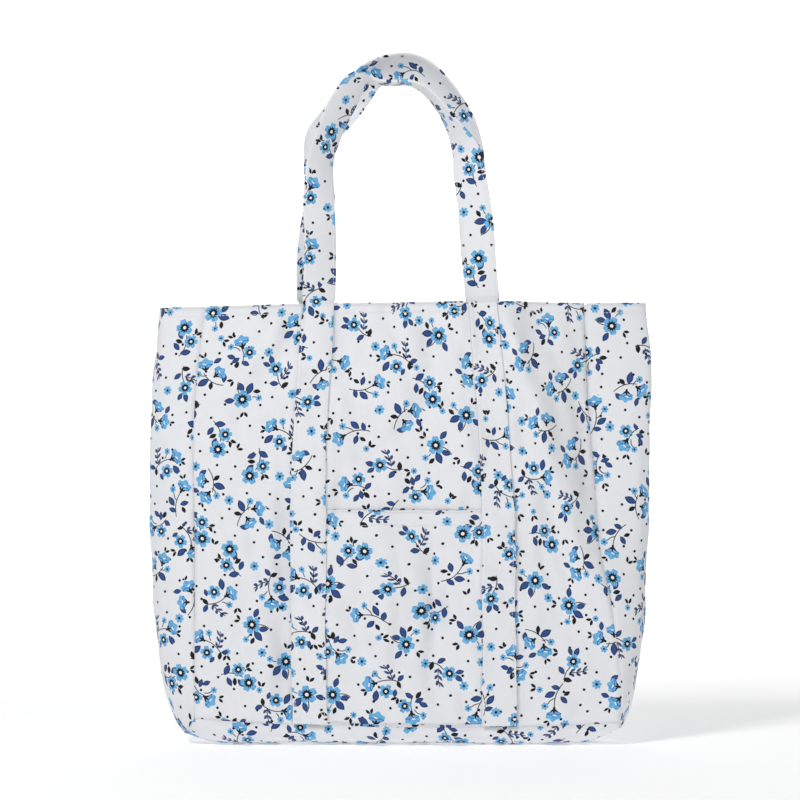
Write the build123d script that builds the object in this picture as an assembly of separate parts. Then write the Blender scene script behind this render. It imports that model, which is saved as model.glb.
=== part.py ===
from build123d import *
import math
import os

# Fabric tote-style knitting bag, millimetres. Origin at the middle of the flat base, +Z up,
# X across the width, the front wall facing -Y. "Left" is the -X side, seen from the front.

# Body
MOUTH_Z = 390.0  # height of the mouth edge
SEAM_Z = 20.0  # height of the seam between each wall and the base
MOUTH_HALF_WIDTH = 170.0  # wall's half width at the mouth
SEAM_HALF_WIDTH = 188.0  # wall's half width at the base seam
CORNER_RADIUS = 15.0  # wall's bottom corners
WALL_Y = 35.0  # inner face of each wall
CLOTH = 1.0  # one layer of sewn cloth
SEAM_GAP = 0.5  # clearance along a seam that a wall turns about

# Gusset strip: how far its middle stands out from the seam, and half its flat middle
MOUTH_BOW = 43.0
SIDE_BOW = 37.0
LOW_BOW = 25.0
CORNER_BOW = 14.0
BASE_BOW = SEAM_Z
SIDE_FLAT = 6.0
BASE_FLAT = 17.0

# Turned hem at the mouth, seam bindings
HEM_DEPTH = 20.0
HEM_CLOTH = 0.9
BINDING_WIDTH = 9.0
BINDING_CLOTH = 1.2
BINDING_CLEAR = 0.6  # corner binding stands off the bend by this much

# Straps: a run sewn up each wall, and the free loop that is the handle
STRAP_WIDTH = 30.0
STRAP_CLOTH = 2.0
STRAP_MOUTH_X = 72.0  # strap's centre at the mouth
STRAP_SEAM_X = 83.0  # strap's centre at the base seam
HANDLE_RISE = 207.0  # middle of the strap at the top of the loop, above the mouth
HANDLE_LEG = 110.0  # straight part of each leg
HANDLE_TOP_RADIUS = 50.0

# Pocket between the front straps
POCKET_TOP_Z = 209.0
POCKET_HEM_DEPTH = 16.0
POCKET_LIFT = 6.0  # how far the pocket stands off the wall in its middle
POCKET_FULL_Z = 75.0  # height from which it stands off fully
POCKET_TUCK = 12.0  # pocket's edge under each strap
POCKET_SLOPE = 14.0

# Stitching, as raised thread rows
THREAD = 0.4
THREAD_WIDTH = 0.7
STITCH_INSET = 3.0  # row's distance from a strap's edge
STITCH_STOP = 4.0  # rows stop this far from the fold at the mouth
MOUTH_STITCH_DROP = 8.0

BACK = Rot(0, 0, 180)
WALL_OUT = WALL_Y + CLOTH


def upright(outline, inner, outer):
    """Slab of a wall: an outline in X and Z, between two distances in front of the bag's middle."""
    return extrude(Plane.XZ.offset(inner) * outline, outer - inner)


def half_width(z):
    """Wall's half width at a height."""
    share = (z - SEAM_Z) / (MOUTH_Z - SEAM_Z)
    return SEAM_HALF_WIDTH + share * (MOUTH_HALF_WIDTH - SEAM_HALF_WIDTH)


def strap_x(z):
    """Centre of a sewn strap at a height."""
    share = (z - SEAM_Z) / (MOUTH_Z - SEAM_Z)
    return STRAP_SEAM_X + share * (STRAP_MOUTH_X - STRAP_SEAM_X)


def wall_outline(inset, low, high):
    """Trapezoid of the wall, narrower by the inset, with round bottom corners."""
    outline = make_face(
        Polyline(
            (-half_width(high) + inset, high),
            (-half_width(low) + inset, low),
            (half_width(low) - inset, low),
            (half_width(high) - inset, high),
            close=True,
        )
    )
    corners = outline.vertices().sort_by(Axis.Y)[:2]
    return fillet(corners, CORNER_RADIUS)


def panel():
    return upright(wall_outline(0, SEAM_Z + SEAM_GAP, MOUTH_Z), WALL_Y, WALL_OUT)


def mouth_hem():
    """Cloth turned in and sewn down along the mouth."""
    low = MOUTH_Z - HEM_DEPTH
    hem = make_face(
        Polyline(
            (-half_width(MOUTH_Z) + 1, MOUTH_Z),
            (-half_width(low) + 1, low),
            (half_width(low) - 1, low),
            (half_width(MOUTH_Z) - 1, MOUTH_Z),
            close=True,
        )
    )
    return upright(hem, WALL_Y - HEM_CLOTH, WALL_Y)


def seam_binding():
    """Binding over the raw edges, down one side, along the base seam and up the other side."""
    top = MOUTH_Z - HEM_DEPTH - SEAM_GAP
    low = SEAM_Z + SEAM_GAP
    outer = wall_outline(1, low, top)
    inner = wall_outline(1 + BINDING_WIDTH, low + BINDING_WIDTH, top + BINDING_WIDTH)
    return upright(outer - inner, WALL_Y - BINDING_CLOTH, WALL_Y)


def path_point(t):
    """Seam point, outward direction, bow and flat of the gusset strip.

    The seam runs from the mouth (t = 0) down the side (t = 1), round the corner (t = 2)
    and to the middle of the base (t = 3).
    """
    lean = math.atan2(SEAM_HALF_WIDTH - MOUTH_HALF_WIDTH, MOUTH_Z - SEAM_Z)
    reach = CORNER_RADIUS * math.tan((math.pi / 2 - lean) / 2)
    side_end_z = SEAM_Z + reach * math.cos(lean)
    centre_x = SEAM_HALF_WIDTH - reach
    centre_z = SEAM_Z + CORNER_RADIUS
    if t <= 1:
        z = MOUTH_Z + t * (side_end_z - MOUTH_Z)
        x = half_width(z)
        angle = lean
        rows = [(0, MOUTH_BOW), (0.35, SIDE_BOW), (0.8, SIDE_BOW), (1, LOW_BOW)]
        bow = step_between(rows, t)
        flat = SIDE_FLAT
    elif t <= 2:
        angle = lean - (t - 1) * (math.pi / 2 + lean)
        x = centre_x + CORNER_RADIUS * math.cos(angle)
        z = centre_z + CORNER_RADIUS * math.sin(angle)
        rows = [(1, LOW_BOW), (1.5, CORNER_BOW), (2, BASE_BOW)]
        bow = step_between(rows, t)
        flat = SIDE_FLAT + (t - 1) * (BASE_FLAT - SIDE_FLAT)
    else:
        angle = -math.pi / 2
        x = centre_x * (3 - t)
        z = SEAM_Z
        bow = BASE_BOW
        flat = BASE_FLAT
    return x, z, math.cos(angle), math.sin(angle), bow, flat


def step_between(rows, t):
    """Straight-line value between rows of (t, value)."""
    for (t0, v0), (t1, v1) in zip(rows, rows[1:]):
        if t <= t1:
            return v0 + (v1 - v0) * (t - t0) / (t1 - t0)
    return rows[-1][1]


def strip_section(t, inner, outer, half):
    """Section of the gusset strip across the bag: two round sides and a flat middle.

    inner and outer are depths of the layer inside the outer face, half is its half width.
    """
    x, z, out_x, out_z, bow, flat = path_point(t)
    x += SEAM_GAP * out_x
    z += SEAM_GAP * out_z
    full = WALL_Y + CLOTH / 2
    bow -= SEAM_GAP
    radius = ((full - flat) ** 2 + bow**2) / (2 * bow)

    def place(y, d):
        return Vector(x + d * out_x, y, z + d * out_z)

    def along(depth, end):
        """Points of one face: the end, the middle of the round side and the flat's end."""
        r = radius - depth
        centre_d = bow - radius
        reach = (end - flat) / radius
        end_angle = math.asin(min(1.0, reach))
        if bow > radius and end == full:
            end_angle = math.pi - end_angle
        points = []
        for angle in (end_angle, end_angle / 2, 0):
            points.append((flat + r * math.sin(angle), centre_d + r * math.cos(angle)))
        return points

    out_side = along(outer, half)
    in_side = along(inner, half)
    top = [place(-y, d) for y, d in out_side]
    top_end = [place(y, d) for y, d in out_side]
    under = [place(-y, d) for y, d in in_side]
    under_end = [place(y, d) for y, d in in_side]
    edges = [
        ThreePointArc(top[0], top[1], top[2]),
        Line(top[2], top_end[2]),
        ThreePointArc(top_end[2], top_end[1], top_end[0]),
        Line(top_end[0], under_end[0]),
        ThreePointArc(under_end[0], under_end[1], under_end[2]),
        Line(under_end[2], under[2]),
        ThreePointArc(under[2], under[1], under[0]),
        Line(under[0], top[0]),
    ]
    return make_face(edges)


def strip(ts, inner, outer, half):
    """Layer of the strip through its sections, on the +X side."""
    return loft([strip_section(t, inner, outer, half) for t in ts], ruled=True)


def gusset():
    """Side gusset, from the mouth down to the corner seam."""
    ts = [0, 0.18, 0.35, 0.55, 0.8, 0.9, 1.0, 1.25, 1.48]
    return strip(ts, CLOTH, 0, WALL_Y + CLOTH / 2)


def base_end():
    """Half of the base strip, from its middle to the corner seam."""
    ts = [3.0, 2.0, 1.76, 1.52]
    return strip(ts, CLOTH, 0, WALL_Y + CLOTH / 2)


def base_gusset():
    return base_end() + mirror(base_end(), about=Plane.YZ)


def gusset_hem():
    """Gusset's cloth turned in along the mouth."""
    end = HEM_DEPTH / (MOUTH_Z - SEAM_Z - CORNER_RADIUS)
    return strip([0, end], CLOTH + HEM_CLOTH, CLOTH, 30.0)


def corner_binding():
    """Binding over the seam between the side gusset and the base strip."""
    near = CLOTH + BINDING_CLEAR
    return strip([1.3, 1.5, 1.7], near + BINDING_CLOTH, near, 28.0)


def strap_profile(width, low, high, inset=0.0):
    """Slanting strip of a strap's width between two heights, right-hand side."""
    half = width / 2
    return make_face(
        Polyline(
            (strap_x(low) + inset - half, low),
            (strap_x(low) + inset + half, low),
            (strap_x(high) + inset + half, high),
            (strap_x(high) + inset - half, high),
            close=True,
        )
    )


def plain_strap():
    """Sewn run straight on the wall."""
    return upright(
        strap_profile(STRAP_WIDTH, SEAM_Z + 1, MOUTH_Z), WALL_OUT, WALL_OUT + STRAP_CLOTH
    )


def pocket_strap():
    """Sewn run that steps out over the edge of the pocket."""
    step_z = POCKET_TOP_Z + 2
    low = upright(
        strap_profile(STRAP_WIDTH, SEAM_Z + 1, step_z),
        WALL_OUT + CLOTH,
        WALL_OUT + CLOTH + STRAP_CLOTH,
    )
    high = upright(
        strap_profile(STRAP_WIDTH, POCKET_TOP_Z + 0.5, MOUTH_Z),
        WALL_OUT,
        WALL_OUT + STRAP_CLOTH,
    )
    return low + high


def pocket_section(z, lift):
    """Pocket's section at a height: flat edges under the straps and a raised middle."""
    edge = strap_x(z) - STRAP_WIDTH / 2 + POCKET_TUCK
    foot = strap_x(z) - STRAP_WIDTH / 2 - 1
    top = foot - POCKET_SLOPE
    near = WALL_OUT
    far = WALL_OUT + CLOTH
    points = [
        (-edge, near),
        (-foot, near),
        (-top, near + lift),
        (top, near + lift),
        (foot, near),
        (edge, near),
        (edge, far),
        (foot, far),
        (top, far + lift),
        (-top, far + lift),
        (-foot, far),
        (-edge, far),
    ]
    return make_face(Polyline(*[(x, -y, z) for x, y in points], close=True))


def front_pocket():
    """Pocket's cloth, sewn flat at its foot and standing off the wall above."""
    sections = [
        pocket_section(SEAM_Z + 1, 0.05),
        pocket_section(POCKET_FULL_Z, POCKET_LIFT),
        pocket_section(POCKET_TOP_Z, POCKET_LIFT),
    ]
    return loft(sections, ruled=True)


def pocket_hem():
    """Pocket's top edge, turned in behind it and sewn down."""
    top = strap_x(POCKET_TOP_Z) - STRAP_WIDTH / 2 - 1 - POCKET_SLOPE
    low = POCKET_TOP_Z - POCKET_HEM_DEPTH
    hem = Pos(0, (low + POCKET_TOP_Z) / 2) * Rectangle(2 * top, POCKET_HEM_DEPTH)
    outer = WALL_OUT + POCKET_LIFT
    return upright(hem, outer - HEM_CLOTH, outer)


def pocket_stitching():
    """Row that holds the pocket's hem."""
    top = strap_x(POCKET_TOP_Z) - STRAP_WIDTH / 2 - 1 - POCKET_SLOPE
    row_z = POCKET_TOP_Z - POCKET_HEM_DEPTH + 3
    row = Pos(0, row_z) * Rectangle(2 * top, THREAD_WIDTH)
    inner = WALL_OUT + CLOTH + POCKET_LIFT
    return upright(row, inner, inner + THREAD)


def arch_edges(offset, low):
    """Edges of the handle's curve, offset outward from the strap's middle.

    Two straight legs, two side arcs and a top arc, all tangent. The side arc's radius
    follows from the loop's half width, the top radius and the rise of the arch.
    """
    half = STRAP_MOUTH_X
    shoulder = MOUTH_Z + HANDLE_LEG
    rise = HANDLE_RISE - HANDLE_LEG - HANDLE_TOP_RADIUS
    side = (half**2 + rise**2 - HANDLE_TOP_RADIUS**2) / (2 * (half - HANDLE_TOP_RADIUS))
    tilt = math.atan2(rise, half - side)
    centre_x = side - half
    top_z = shoulder + rise + HANDLE_TOP_RADIUS + offset
    mid = (math.pi + tilt) / 2

    def on_side(angle):
        radius = side + offset
        return centre_x + radius * math.cos(angle), shoulder + radius * math.sin(angle)

    join = on_side(tilt)
    bend = on_side(mid)
    leg = -(half + offset)
    return [
        Line((leg, low), (leg, shoulder)),
        ThreePointArc((leg, shoulder), bend, join),
        ThreePointArc(join, (0, top_z), (-join[0], join[1])),
        ThreePointArc((-join[0], join[1]), (-bend[0], bend[1]), (-leg, shoulder)),
        Line((-leg, shoulder), (-leg, low)),
    ]


def arch_band(inner, outer, low):
    """Flat band between two offsets of the handle's curve."""
    edges = arch_edges(outer, low) + arch_edges(inner, low)
    leg_in = STRAP_MOUTH_X + inner
    leg_out = STRAP_MOUTH_X + outer
    edges.append(Line((-leg_in, low), (-leg_out, low)))
    edges.append(Line((leg_in, low), (leg_out, low)))
    return make_face(edges)


def handle():
    """Free loop of the strap above the mouth."""
    half = STRAP_WIDTH / 2
    return upright(
        arch_band(-half, half, MOUTH_Z + SEAM_GAP), WALL_OUT, WALL_OUT + STRAP_CLOTH
    )


def handle_stitching():
    """Two rows along the loop's edges, on its outer face."""
    edge = STRAP_WIDTH / 2 - STITCH_INSET
    low = MOUTH_Z + STITCH_STOP
    rows = arch_band(edge - THREAD_WIDTH, edge, low)
    rows += arch_band(-edge, -edge + THREAD_WIDTH, low)
    outer = WALL_OUT + STRAP_CLOTH
    return upright(rows, outer, outer + THREAD)


def strap_rows(low, high, outer):
    """Two stitched rows along a sewn strap's edges."""
    edge = STRAP_WIDTH / 2 - STITCH_INSET - THREAD_WIDTH / 2
    rows = strap_profile(THREAD_WIDTH, low, high, -edge)
    rows += strap_profile(THREAD_WIDTH, low, high, edge)
    return upright(rows, outer, outer + THREAD)


def plain_strap_stitching():
    return strap_rows(SEAM_Z + 2, MOUTH_Z - STITCH_STOP, WALL_OUT + STRAP_CLOTH)


def pocket_strap_stitching():
    low = strap_rows(SEAM_Z + 2, POCKET_TOP_Z + 1, WALL_OUT + CLOTH + STRAP_CLOTH)
    high = strap_rows(
        POCKET_TOP_Z + 3, MOUTH_Z - STITCH_STOP, WALL_OUT + STRAP_CLOTH
    )
    return low + high


def mouth_stitching():
    """Row that holds the hem, broken where the straps pass over it."""
    z = MOUTH_Z - MOUTH_STITCH_DROP
    row = Pos(0, z) * Rectangle(2 * (half_width(z) - 2), THREAD_WIDTH)
    for side in (-1, 1):
        row -= Pos(side * strap_x(z), z) * Rectangle(STRAP_WIDTH + 1, 3)
    return upright(row, WALL_OUT, WALL_OUT + THREAD)


def gusset_stitching():
    """The same row round the side gusset."""
    run = MOUTH_Z - SEAM_Z - CORNER_RADIUS
    start = MOUTH_STITCH_DROP / run
    end = (MOUTH_STITCH_DROP + THREAD_WIDTH) / run
    return strip([start, end], 0, -THREAD, 30.0)


def mirrored(shape):
    """The same piece on the other side of the bag."""
    return mirror(shape, about=Plane.YZ)


nodes = {
    "base_gusset": base_gusset(),
    "right_gusset": gusset(),
    "left_gusset": mirrored(gusset()),
    "right_mouth_hem": gusset_hem(),
    "left_mouth_hem": mirrored(gusset_hem()),
    "right_mouth_stitching": gusset_stitching(),
    "left_mouth_stitching": mirrored(gusset_stitching()),
    "right_corner_binding": corner_binding(),
    "left_corner_binding": mirrored(corner_binding()),
    "front_panel": panel(),
    "front_mouth_hem": mouth_hem(),
    "front_mouth_stitching": mouth_stitching(),
    "front_seam_binding": seam_binding(),
    "front_pocket": front_pocket(),
    "pocket_hem": pocket_hem(),
    "pocket_stitching": pocket_stitching(),
    "front_strap_right": pocket_strap(),
    "front_strap_left": mirrored(pocket_strap()),
    "front_strap_right_stitching": pocket_strap_stitching(),
    "front_strap_left_stitching": mirrored(pocket_strap_stitching()),
    "front_handle": handle(),
    "front_handle_stitching": handle_stitching(),
    "back_panel": BACK * panel(),
    "back_mouth_hem": BACK * mouth_hem(),
    "back_mouth_stitching": BACK * mouth_stitching(),
    "back_seam_binding": BACK * seam_binding(),
    "back_strap_left": BACK * plain_strap(),
    "back_strap_right": BACK * mirrored(plain_strap()),
    "back_strap_left_stitching": BACK * plain_strap_stitching(),
    "back_strap_right_stitching": BACK * mirrored(plain_strap_stitching()),
    "back_handle": BACK * handle(),
    "back_handle_stitching": BACK * handle_stitching(),
}

os.makedirs("parts", exist_ok=True)
for name, shape in nodes.items():
    export_step(shape, f"parts/{name}.step")
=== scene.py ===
import math

import bpy
import numpy as np
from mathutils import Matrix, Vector


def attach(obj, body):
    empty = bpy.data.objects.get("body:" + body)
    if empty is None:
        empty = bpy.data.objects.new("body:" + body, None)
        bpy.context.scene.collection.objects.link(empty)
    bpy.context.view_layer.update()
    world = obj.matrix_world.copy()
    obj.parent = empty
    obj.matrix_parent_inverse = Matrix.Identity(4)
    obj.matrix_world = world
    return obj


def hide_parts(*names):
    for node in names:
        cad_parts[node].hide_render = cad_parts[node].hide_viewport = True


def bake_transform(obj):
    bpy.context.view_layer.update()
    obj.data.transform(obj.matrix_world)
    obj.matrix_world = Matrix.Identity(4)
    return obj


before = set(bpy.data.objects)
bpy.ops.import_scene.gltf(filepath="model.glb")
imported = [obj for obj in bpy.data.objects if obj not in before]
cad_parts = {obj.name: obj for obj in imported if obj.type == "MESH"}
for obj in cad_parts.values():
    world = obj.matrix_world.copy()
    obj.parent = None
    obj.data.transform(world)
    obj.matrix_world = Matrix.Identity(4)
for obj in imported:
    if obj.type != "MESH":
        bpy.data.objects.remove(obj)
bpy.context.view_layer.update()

# Fabric knitting bag. Lengths in this file are millimetres in the frame's axes until a mesh
# is made: X across the bag, -Y towards the front, Z up. "Flat" lengths are of the cut cloth.

MM = 0.001
WALL_HALF = 189.0  # wall cloth: half its flat width
WALL_HIGH = 372.0  # wall cloth: flat height from base seam to mouth
GUSSET_HALF = 52.5  # gusset strip: half its flat width
STRAP_FLAT = 83.5  # strap's centre line on the flat wall cloth
STRAP_HALF = 15.0
STRAP_THICK = 2.4
STITCH_LIFT = 0.05
STITCH_PITCH = 3.2
STITCH_LONG = 2.5
STITCH_WIDE = 0.55
STITCH_HIGH = 0.3
STITCH_AT = STRAP_HALF - 2.6  # strap's edge stitching, from its middle
CLOTH_THICK = 0.8
HEM_DEEP = 20.0
POCKET_HIGH = 190.0
POCKET_HALF = 73.0
POCKET_HEM = 16.0
HEM_THICK = 0.5
TAPE_THICK = 0.5
BUMP_DEPTH = 0.0002  # metres, of yarns in the materials
WALL_DEPTH = 35.5  # from the bag's middle plane to each wall's face
LOOP_FOOT = 393.0  # height where a strap leaves its wall
PRINT_TURN = 38  # degrees between the print's rows and the cut


# Curves and surfaces


def between(s, low, high, rise, fall):
    """Smooth blend from low to high as s goes from 0 to 1, with its slopes at the ends."""
    out = low * (1 + 2 * s) * (1 - s) ** 2 + high * s * s * (3 - 2 * s)
    return out + rise * s * (1 - s) ** 2 - fall * s * s * (1 - s)


def knots(*points):
    """Smooth curve through (t, value...) knots, as a function of t."""
    t = np.array([p[0] for p in points], float)
    v = np.array([p[1:] for p in points], float)
    slope = np.gradient(v, t, axis=0)

    def at(x):
        x = np.clip(np.asarray(x, float), t[0], t[-1])
        i = np.clip(np.searchsorted(t, x, side="right") - 1, 0, len(t) - 2)
        width = (t[i + 1] - t[i])[..., None]
        s = (x - t[i])[..., None] / width
        out = between(s, v[i], v[i + 1], slope[i] * width, slope[i + 1] * width)
        return out[..., 0] if out.shape[-1] == 1 else out

    return at


def unit(v):
    """A vector, or an array of vectors, at length one."""
    return v / np.linalg.norm(v, axis=-1, keepdims=True)


def ease(x):
    x = np.clip(x, 0, 1)
    return x * x * (3 - 2 * x)


def across(a, rows):
    """Value at flat distance a from the wall's middle, between the seams and the strap lines."""
    t = np.array([-WALL_HALF, -STRAP_FLAT, STRAP_FLAT, WALL_HALF])
    slopes = [(rows[1] - rows[0]) / (t[1] - t[0])]
    for k in (1, 2):
        slopes.append((rows[k + 1] - rows[k - 1]) / (t[k + 1] - t[k - 1]))
    slopes.append((rows[3] - rows[2]) / (t[3] - t[2]))
    out = np.zeros(np.broadcast(a, rows[0]).shape)
    for k in range(3):
        width = t[k + 1] - t[k]
        s = np.clip((a - t[k]) / width, 0, 1)
        piece = between(s, rows[k], rows[k + 1], width * slopes[k], width * slopes[k + 1])
        here = (a >= t[k]) & (a <= t[k + 1]) if k == 2 else (a >= t[k]) & (a < t[k + 1])
        out = np.where(here, piece, out)
    return out


def crease(a, h, start, end, width, height):
    """Soft ridge (or valley) of a height along a line on the flat cloth, fading at its ends."""
    start, end = np.array(start, float), np.array(end, float)
    run = end - start
    length = np.hypot(*run)
    run /= length
    da, dh = a - start[0], h - start[1]
    along = da * run[0] + dh * run[1]
    off = da * run[1] - dh * run[0]
    fade = ease(along / (0.35 * length)) * ease((length - along) / (0.35 * length))
    return height * np.exp(-((off / width) ** 2)) * fade


def ripples(seed, wide, high, lean):
    """Smooth random height over flat cloth, about -1 to 1, with waves of the given size."""
    turns = np.random.default_rng(seed).uniform(0, 2 * math.pi, (64, 64))

    def at(a, h):
        u, v = (a + lean * h) / wide + 32.3, h / high + 32.6
        i, j = np.floor(u).astype(int), np.floor(v).astype(int)
        fu, fv = u - i, v - j
        su, sv = fu**3 * (fu * (6 * fu - 15) + 10), fv**3 * (fv * (6 * fv - 15) + 10)

        def corner(di, dj):
            turn = turns[(i + di) % 64, (j + dj) % 64]
            return np.cos(turn) * (fu - di) + np.sin(turn) * (fv - dj)

        low = corner(0, 0) * (1 - su) + corner(1, 0) * su
        high_row = corner(0, 1) * (1 - su) + corner(1, 1) * su
        return 1.5 * (low * (1 - sv) + high_row * sv)

    return at


class Wall:
    """Front or back wall: side is -1 at the front and 1 at the back."""

    def __init__(self, side, edges, bottom, top, turn_back, folds, seed):
        self.side = side
        self.edges = edges
        self.bottom = bottom
        self.top = top
        self.turn_back = turn_back
        self.folds = folds
        self.waves = [
            (4.2, ripples(seed, 58, 420, 0.12)),
            (4.4, ripples(seed + 1, 33, 170, -0.2)),
            (3.1, ripples(seed + 2, 19, 60, 0.3)),
            (1.0, ripples(seed + 3, 10, 20, 0.0)),
        ]

    def surface(self, a, h):
        a, h = np.broadcast_arrays(np.asarray(a, float), np.asarray(h, float))
        x = across(a, [edge(h) for edge in self.edges])
        share = h / WALL_HIGH
        low, high = self.bottom(a), self.top(a)
        z = low + (high - low) * share
        u = a / WALL_HALF
        depth = WALL_DEPTH + 0 * a
        for end, (ridge, drop) in zip((-1, 1), self.turn_back):
            beyond = np.clip((end * a - ridge(h)) / (WALL_HALF - ridge(h)), -1, 1)
            depth = depth - drop(h) * (np.hypot(beyond, 0.12) + beyond) / 2
        body = np.clip(1 - u * u, 0, 1)
        depth = depth + body**0.8 * (1.5 + 5.0 * ease(share / 0.5))
        stiff = np.exp(-(((np.abs(a) - STRAP_FLAT) / 17.0) ** 4))
        for height, wave in self.waves:
            soft = 1 - stiff * (0.35 if height > 1 else 0.75)
            depth = depth + body**0.35 * soft * height * wave(a, h)
        for start, end, width, height in self.folds:
            depth = depth + 1.45 * body**0.25 * crease(a, h, start, end, width, height)
        for line in (-STRAP_FLAT - 19, -STRAP_FLAT + 19, STRAP_FLAT - 19, STRAP_FLAT + 19):
            near = np.exp(-(((a - line) / 7.0) ** 2))
            depth = depth + near * 0.22 * np.sin(h / 3.1 + line) * np.sin(h / 17.0 + line)
        near = np.exp(-((h / 9.0) ** 2))
        depth = depth + near * 0.5 * np.sin(a / 3.4) * np.sin(a / 23.0 + 1)
        depth = depth - 2.3 * np.exp(-(((WALL_HALF - np.abs(a)) / 2.0) ** 2)) * ease(h / 12)
        return np.stack([x, self.side * depth, z], -1)

    def point(self, a, h, lift=0.0):
        """Surface point, lifted outward along the normal."""
        p = self.surface(a, h)
        step = 0.5
        da = self.surface(a + step, h) - self.surface(np.asarray(a, float) - step, h)
        dh = self.surface(a, np.asarray(h, float) + step) - self.surface(a, h - step)
        n = unit(np.cross(da, dh))
        n *= np.sign(n[..., 1:2]) * self.side
        return p + n * np.asarray(lift, float)[..., None]


FRONT = Wall(
    -1,
    [
        knots((0, -182), (150, -182), (285, -182), (330, -178), (372, -172.5)),
        knots((0, -80.7), (120, -80.7), (240, -80.7), (300, -77.2), (372, -72.6)),
        knots((0, 86.3), (100, 86), (190, 85.4), (240, 82.7), (330, 75.7), (372, 71.7)),
        knots(
            (0, 190.5), (18, 194.2), (45, 193), (78, 189), (109, 184.8), (145, 177.5),
            (229, 171), (285, 165.8), (328, 163.7), (372, 161.5),
        ),
    ],
    knots((-189, 24.5), (-135, 21), (-50, 18.2), (75, 17), (150, 18.5), (189, 20.5)),
    knots((-189, 387.3), (-83, 389.6), (0, 390.6), (83, 391.6), (189, 390.2)),
    (
        (knots((0, 120), (240, 130), (372, 104)), knots((0, 0), (60, 1.5), (240, 3), (372, 8.5))),
        (
            knots((0, 172), (130, 170), (190, 160), (290, 128), (372, 104)),
            knots(
                (0, 0), (90, 1.5), (130, 4.5), (165, 16), (200, 22), (290, 22), (340, 17),
                (372, 9),
            ),
        ),
    ),
    [
        ((100, 440), (120, 290), 17, 4.5),
        ((114, 340), (156, 190), 17, 4.5),
        ((176, 330), (180, 170), 9, -3.0),
        ((-104, 400), (-176, 250), 10, 3.8),
        ((-92, 372), (-150, 240), 12, -4.2),
        ((-107, 300), (-107, -20), 7, -5.2),
        ((-134, 170), (-126, 10), 11, 2.6),
        ((34, 290), (-44, 220), 10, -3.4),
        ((20, 420), (30, 260), 10, -3.4),
        ((50, 420), (58, 180), 14, 3.4),
        ((-36, 420), (-24, 270), 13, 3.0),
        ((-14, 215), (-22, 50), 15, 3.4),
        ((24, 200), (28, 6), 9, -4.8),
        ((-196, 70), (-120, 2), 9, 2.4),
        ((-190, 42), (-130, -6), 6, -1.4),
        ((-150, 120), (-110, 20), 14, 1.2),
        ((120, 110), (178, 10), 10, 1.8),
        ((-52, 330), (-40, 190), 14, 1.4),
        ((150, 150), (134, 10), 13, -2.6),
        ((116, 240), (118, 10), 8, 1.8),
    ],
    11,
)
BACK = Wall(
    1,
    [
        knots((0, -187), (120, -186), (285, -178), (372, -168)),
        knots((0, -84), (190, -83), (372, -76)),
        knots((0, 84), (190, 83), (372, 76)),
        knots((0, 187), (120, 186), (285, 178), (372, 168)),
    ],
    knots((-189, 22), (-90, 18.5), (90, 18.5), (189, 21)),
    knots((-189, 388), (-83, 389.5), (83, 389.5), (189, 389)),
    (
        (knots((0, 140), (372, 110)), knots((0, 0), (60, 1), (240, 5), (372, 8.5))),
        (knots((0, 150), (372, 118)), knots((0, 0), (60, 1), (240, 3), (372, 8.5))),
    ),
    [
        ((-112, 420), (-150, 220), 15, 5.0),
        ((130, 400), (120, 240), 15, 4.5),
        ((158, 330), (168, 160), 11, -3.5),
        ((30, 340), (-40, 200), 12, -2.6),
        ((-20, 150), (10, 20), 14, 2.2),
        ((150, 90), (100, 10), 11, 2.2),
        ((-196, 80), (-130, 2), 10, 2.4),
        ((-60, 400), (-40, 260), 12, 2.2),
    ],
    23,
)


GUSSET_WAVES = {
    -1: [(2.6, ripples(41, 40, 110, 0.1)), (1.0, ripples(42, 18, 36, -0.2))],
    1: [(2.6, ripples(43, 40, 110, -0.1)), (1.0, ripples(44, 18, 36, 0.2))],
}


def strip_point(front, back, middle, s, power, root, ripple):
    """Point of the gusset strip: from the front seam (s -1) over its middle to the back (s 1)."""
    s = np.asarray(s, float)[..., None]
    chord = front * (1 - s) / 2 + back * (1 + s) / 2
    bow = middle - (front + back) / 2
    rise = np.clip(1 - np.abs(s) ** power, 0, 1) ** root
    return chord + bow * rise * (1 + ripple)


def gusset_middle(side):
    """Distance from the bag's middle to the gusset's, as a function of height."""
    if side > 0:
        return knots(
            (0, 195), (8, 199.2), (16, 203), (52, 211), (85, 216.3), (148, 220.8), (200, 221.6),
            (250, 221.2), (330, 220), (372, 217.6),
        )
    return knots(
        (0, 193.5), (8, 201), (16, 206.4), (24, 209.9), (42, 214.2), (60, 216.8), (112, 221.2),
        (150, 222.6), (200, 222), (245, 221.5), (310, 221.4), (345, 219.3), (372, 217),
    )


def gusset_surface(side, s, h):
    """Side gusset's points: s runs from the front seam (-1) to the back one (1)."""
    hc = np.clip(h, 0, WALL_HIGH + 3)
    front = FRONT.surface(side * WALL_HALF, hc)
    back = BACK.surface(side * WALL_HALF, hc)
    share = hc / WALL_HIGH
    sag = (11.0 - 4.0 * side) * (1 - ease(hc / 40))
    mid_z = (front[..., 2] + back[..., 2]) / 2 - sag + share * (0.2 + 1.2 * side)
    middle = np.stack([side * gusset_middle(side)(hc), 0 * hc, mid_z], -1)
    root = 0.86 + 0.08 * (1 - ease(hc / 50))
    fold = 0.03 * np.sin(s * 5.0 + side) * np.sin(hc / 41.0 + side)
    fold = fold + 0.05 * np.exp(-(((s + 0.25) / 0.2) ** 2)) * np.sin(hc / 61.0 + 2 * side)
    pinch = 0.16 * np.exp(-((hc / 16.0) ** 2)) * np.sin(4.2 * s + 0.8 * side)
    ripple = (fold + pinch) * (1 - s**2)
    out = strip_point(front, back, middle, s, 2.2, root[..., None], ripple[..., None])
    for height, wave in GUSSET_WAVES[side]:
        out[..., 0] += side * height * wave(s * GUSSET_HALF, hc) * (1 - s**2) ** 0.5
    return out


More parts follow.
